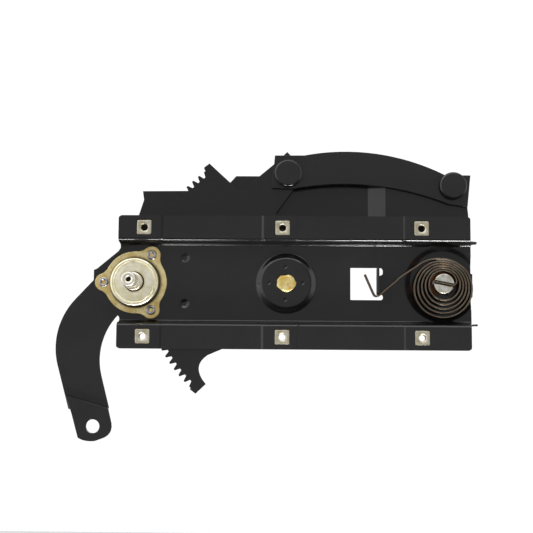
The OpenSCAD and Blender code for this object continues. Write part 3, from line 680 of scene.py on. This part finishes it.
def smooth_line(points, spacing):
    """Points along a Catmull-Rom curve through the given ones."""
    p = np.concatenate([[2 * points[0] - points[1]], points, [2 * points[-1] - points[-2]]])
    out = []
    for a, b, c, d in zip(p, p[1:], p[2:], p[3:]):
        t = np.linspace(0, 1, max(2, int(np.linalg.norm(c - b) / spacing)))[:-1, None]
        out.append(0.5 * (2 * b + (c - a) * t + (2 * a - 5 * b + 4 * c - d) * t ** 2
                          + (3 * b - a - 3 * c + d) * t ** 3))
    return np.concatenate(out + [points[-1:]])


strip_edge_r = 0.82


def strip_surface(path, thickness, low, high):
    """A rounded strip section carried along a path in X and Z, standing along Y, with closed ends."""
    ahead = np.gradient(path, axis=0)
    ahead = ahead / np.linalg.norm(ahead, axis=1)[:, None]
    side = np.stack([-ahead[:, 1], ahead[:, 0]], 1)
    h = thickness / 2
    edge = softened([(a, b, strip_edge_r) for a, b in ((-h, low), (h, low), (h, high), (-h, high))], True, 4)
    grid = np.stack([path[:, None, 0] + edge[None, :, 0] * side[:, None, 0],
                     np.repeat(edge[None, :, 1], len(path), 0),
                     path[:, None, 1] + edge[None, :, 0] * side[:, None, 1]], -1)
    corners, faces = surface(grid, False, True)
    n = len(edge)
    caps = [list(range(n)), list(range(len(corners) - 1, len(corners) - 1 - n, -1))]
    return corners, [list(f) for f in faces] + caps


hook = np.array([(83.6, 9), (88.0, -1.0), (92.2, -10.6), (93.4, -12.4), (95.4, -13.1), (97.4, -12.6),
                 (99.6, -10.8), (106.5, -5.0), (114.1, 1.3), (119.2, 6.0), (127.4, 11.8), (135.7, 17.3),
                 (142.5, 21.8), (149.5, 24.4), (156, 25.4)], float)
coils = coil_line()
outer_line = np.concatenate([smooth_line(np.concatenate([hook, coils[:1]]), 1.2)[:-1], coils])
coil = piece("coiled_strip", *strip_surface(outer_line, strip_t, strip_low, strip_high), 50)
slot_tilt = math.radians(-11)
slot_way = np.array([math.cos(slot_tilt), math.sin(slot_tilt)])
last_point = coils[-1]
back_angle = np.linspace(end_turn + math.radians(52), end_turn, 40)
held = np.stack([post_x + end_r * np.cos(back_angle), end_r * np.sin(back_angle)], 1)
bend_r = 4.5
bend_centre = last_point - bend_r * np.array([math.cos(end_turn), math.sin(end_turn)])
bend_angle = np.linspace(end_turn, -math.pi / 2 + slot_tilt, 16)[1:]
bent = bend_centre + bend_r * np.stack([np.cos(bend_angle), np.sin(bend_angle)], 1)
inner = np.array([post_x, 0.0]) + slot_way * np.array([[7.0], [4.0], [0.0], [-4.0], [-8.6]])
bent_line = smooth_line(np.concatenate([bent[::3], inner]), 0.8)
tail_line = np.concatenate([held, bent_line])
tail = piece("strip_tail", *strip_surface(tail_line, strip_t - 0.16, strip_low + 0.08, strip_high - 0.08), 50)

# Blued spring steel, oiled: dark brown with rust-brown bloom, bare and brighter on the front edges
spring_finish = bpy.data.materials.new("blued_spring_steel")
tree, shader, at = start(spring_finish)
bloom = between(tree, blotches(tree, at, 7), 0.42, 0.62, 0, 1)
brown = shade(tree, bloom, "#25221f", "#6b3f18")
depth_now = add(tree, "SeparateXYZ", None, {0: at}).outputs["Y"]
front_edge = between(tree, depth_now, 0.00645, 0.0069, 1.0, 0.0)
worn = add(tree, "Math", {"operation": "MULTIPLY"},
           {0: front_edge, 1: between(tree, blotches(tree, at, 5), 0.3, 0.6, 0.55, 1.0)}).outputs[0]
wire(tree, shader, Base_Color=shade(tree, worn, brown, "#5e564a"),
     Roughness=between(tree, blotches(tree, at, 3), 0.3, 0.7, 0.26, 0.4),
     Normal=relief(tree, blotches(tree, at, 2.6), 0.04, 0.1))
shader.inputs["Metallic"].default_value = 0.85
for made, body in ((coil, "plate"), (tail, "arm")):
    made.data.materials.append(spring_finish)
    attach(made, body)
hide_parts("clock_spring")

# ---------------------------------------------------------------------------
# Round-headed pins. Cold-headed steel with a broad low head, enamelled black with
# the plates they join; one on the sector and one on the lift arm.
# ---------------------------------------------------------------------------
pin_places = {"crank_pin": ((hub_x + 1.5, 113.4), "sector", 8.0, 6.0),
              "link_pin": ((post_x + 11.5, 101.0), "arm", 5.0, 5.0)}
for name, (spot, body, journal, neck) in pin_places.items():
    head = [(0, 9.05, 0), (9.5, 9.15, 2), (12.7, 9.3, 0.8), (14.0, 10.5, 0.6), (14.0, 14.2, 0.5),
            (13.4, 14.8, 0.3), (journal, 14.8, 0), (journal, 19.5, 0), (neck, 19.5, 0), (neck, 23.5, 0),
            (9.0, 23.5, 0.3), (9.0, 25.1, 0.6), (0, 25.1, 0)]
    pin = piece(name + "_turned", *turned(head, spot, around=112, steps=6), 40, weld=0.001)
    pin.data.materials.append(enamel)
    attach(pin, body)
    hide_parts(name)

# ---------------------------------------------------------------------------
# Stamped plates: sector, curved link, lift arm, its tip and its hub plate. Cut
# from 4 mm steel, which rolls the front edge over, and enamelled black.
# ---------------------------------------------------------------------------


def eased_copy(name, width):
    """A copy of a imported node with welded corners, whole flat faces and rounded edges."""
    mesh = nodes[name].data.copy()
    mesh.materials.clear()
    work = bmesh.new()
    work.from_mesh(mesh)
    bmesh.ops.remove_doubles(work, verts=work.verts, dist=2e-6)
    bmesh.ops.dissolve_limit(work, angle_limit=math.radians(0.4), verts=work.verts, edges=work.edges)
    work.to_mesh(mesh)
    work.free()
    made = bpy.data.objects.new(name + "_eased", mesh)
    scene.collection.objects.link(made)
    rounding = made.modifiers.new("edge", "BEVEL")
    rounding.width, rounding.segments = width * 0.001, 2
    rounding.limit_method = "ANGLE"
    rounding.angle_limit = math.radians(28)
    rounding.use_clamp_overlap = True
    return settle(made, 30, 60.0)


for name, body, width in (("sector_gear", "sector", 0.3), ("curved_link", "link", 0.45),
                          ("lift_arm", "arm", 0.45), ("arm_tip_plate", "arm", 0.9),
                          ("arm_hub_plate", "arm", 0.4)):
    made = eased_copy(name, width)
    made.data.materials.append(enamel)
    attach(made, body)
    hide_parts(name)

# ---------------------------------------------------------------------------
# Post of the lift arm and its ring. Turned bright zinc plated steel with a slot
# milled across the end for the spring, kept in the plate by a spring ring.
# ---------------------------------------------------------------------------
post_finish = bpy.data.materials.new("bright_zinc_post")
tree, shader, at = start(post_finish)
base = shade(tree, between(tree, blotches(tree, at, 4), 0.4, 0.62, 0, 1), "#d8d6cf", "#b9b4a2")
wire(tree, shader, Base_Color=base, Roughness=between(tree, blotches(tree, at, 2), 0.3, 0.7, 0.3, 0.48),
     Normal=relief(tree, blotches(tree, at, 1.1), 0.25, 0.12))
shader.inputs["Metallic"].default_value = 1.0
post = eased_copy("pivot_post", 0.3)
post.data.materials.append(post_finish)
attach(post, "arm")
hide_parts("pivot_post")
ring = eased_copy("post_circlip", 0.3)
ring.data.materials.append(spring_finish)
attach(ring, "arm")
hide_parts("post_circlip")

# ---------------------------------------------------------------------------
# Working pieces behind the plates: pinion, brake drum, dogs and wrap spring in
# oiled steel, bushes in sintered bronze, thin washers, and the arm's rivets.
# ---------------------------------------------------------------------------
oiled = bpy.data.materials.new("oiled_machined_steel")
tree, shader, at = start(oiled)
grain = shade(tree, between(tree, blotches(tree, at, 6), 0.4, 0.6, 0, 1), "#5c5c5e", "#777674")
wire(tree, shader, Base_Color=grain, Roughness=between(tree, blotches(tree, at, 2.5), 0.3, 0.7, 0.28, 0.44),
     Normal=relief(tree, blotches(tree, at, 1.2), 0.2, 0.1))
shader.inputs["Metallic"].default_value = 1.0

bronze = bpy.data.materials.new("sintered_bronze")
tree, shader, at = start(bronze)
pores = between(tree, blotches(tree, at, 0.8, 2), 0.6, 0.72, 0, 0.7)
warm = shade(tree, blotches(tree, at, 5), "#5a4129", "#43301c")
wire(tree, shader, Base_Color=shade(tree, pores, warm, "#20170e"),
     Roughness=between(tree, blotches(tree, at, 3), 0.3, 0.7, 0.36, 0.5),
     Normal=relief(tree, blotches(tree, at, 0.8, 2), 0.25, 0.1))
shader.inputs["Metallic"].default_value = 1.0

for finish, names in ((oiled, ("brake_drum", "brake_spring", "drive_dog", "pinion_gear", "arm_rivets")),
                      (bronze, ("spindle_bush", "sector_bush", "link_bush")),
                      (zinc_pale, ("crank_pin_washer", "link_pin_washer"))):
    for name in names:
        nodes[name].data.materials.clear()
        nodes[name].data.materials.append(finish)
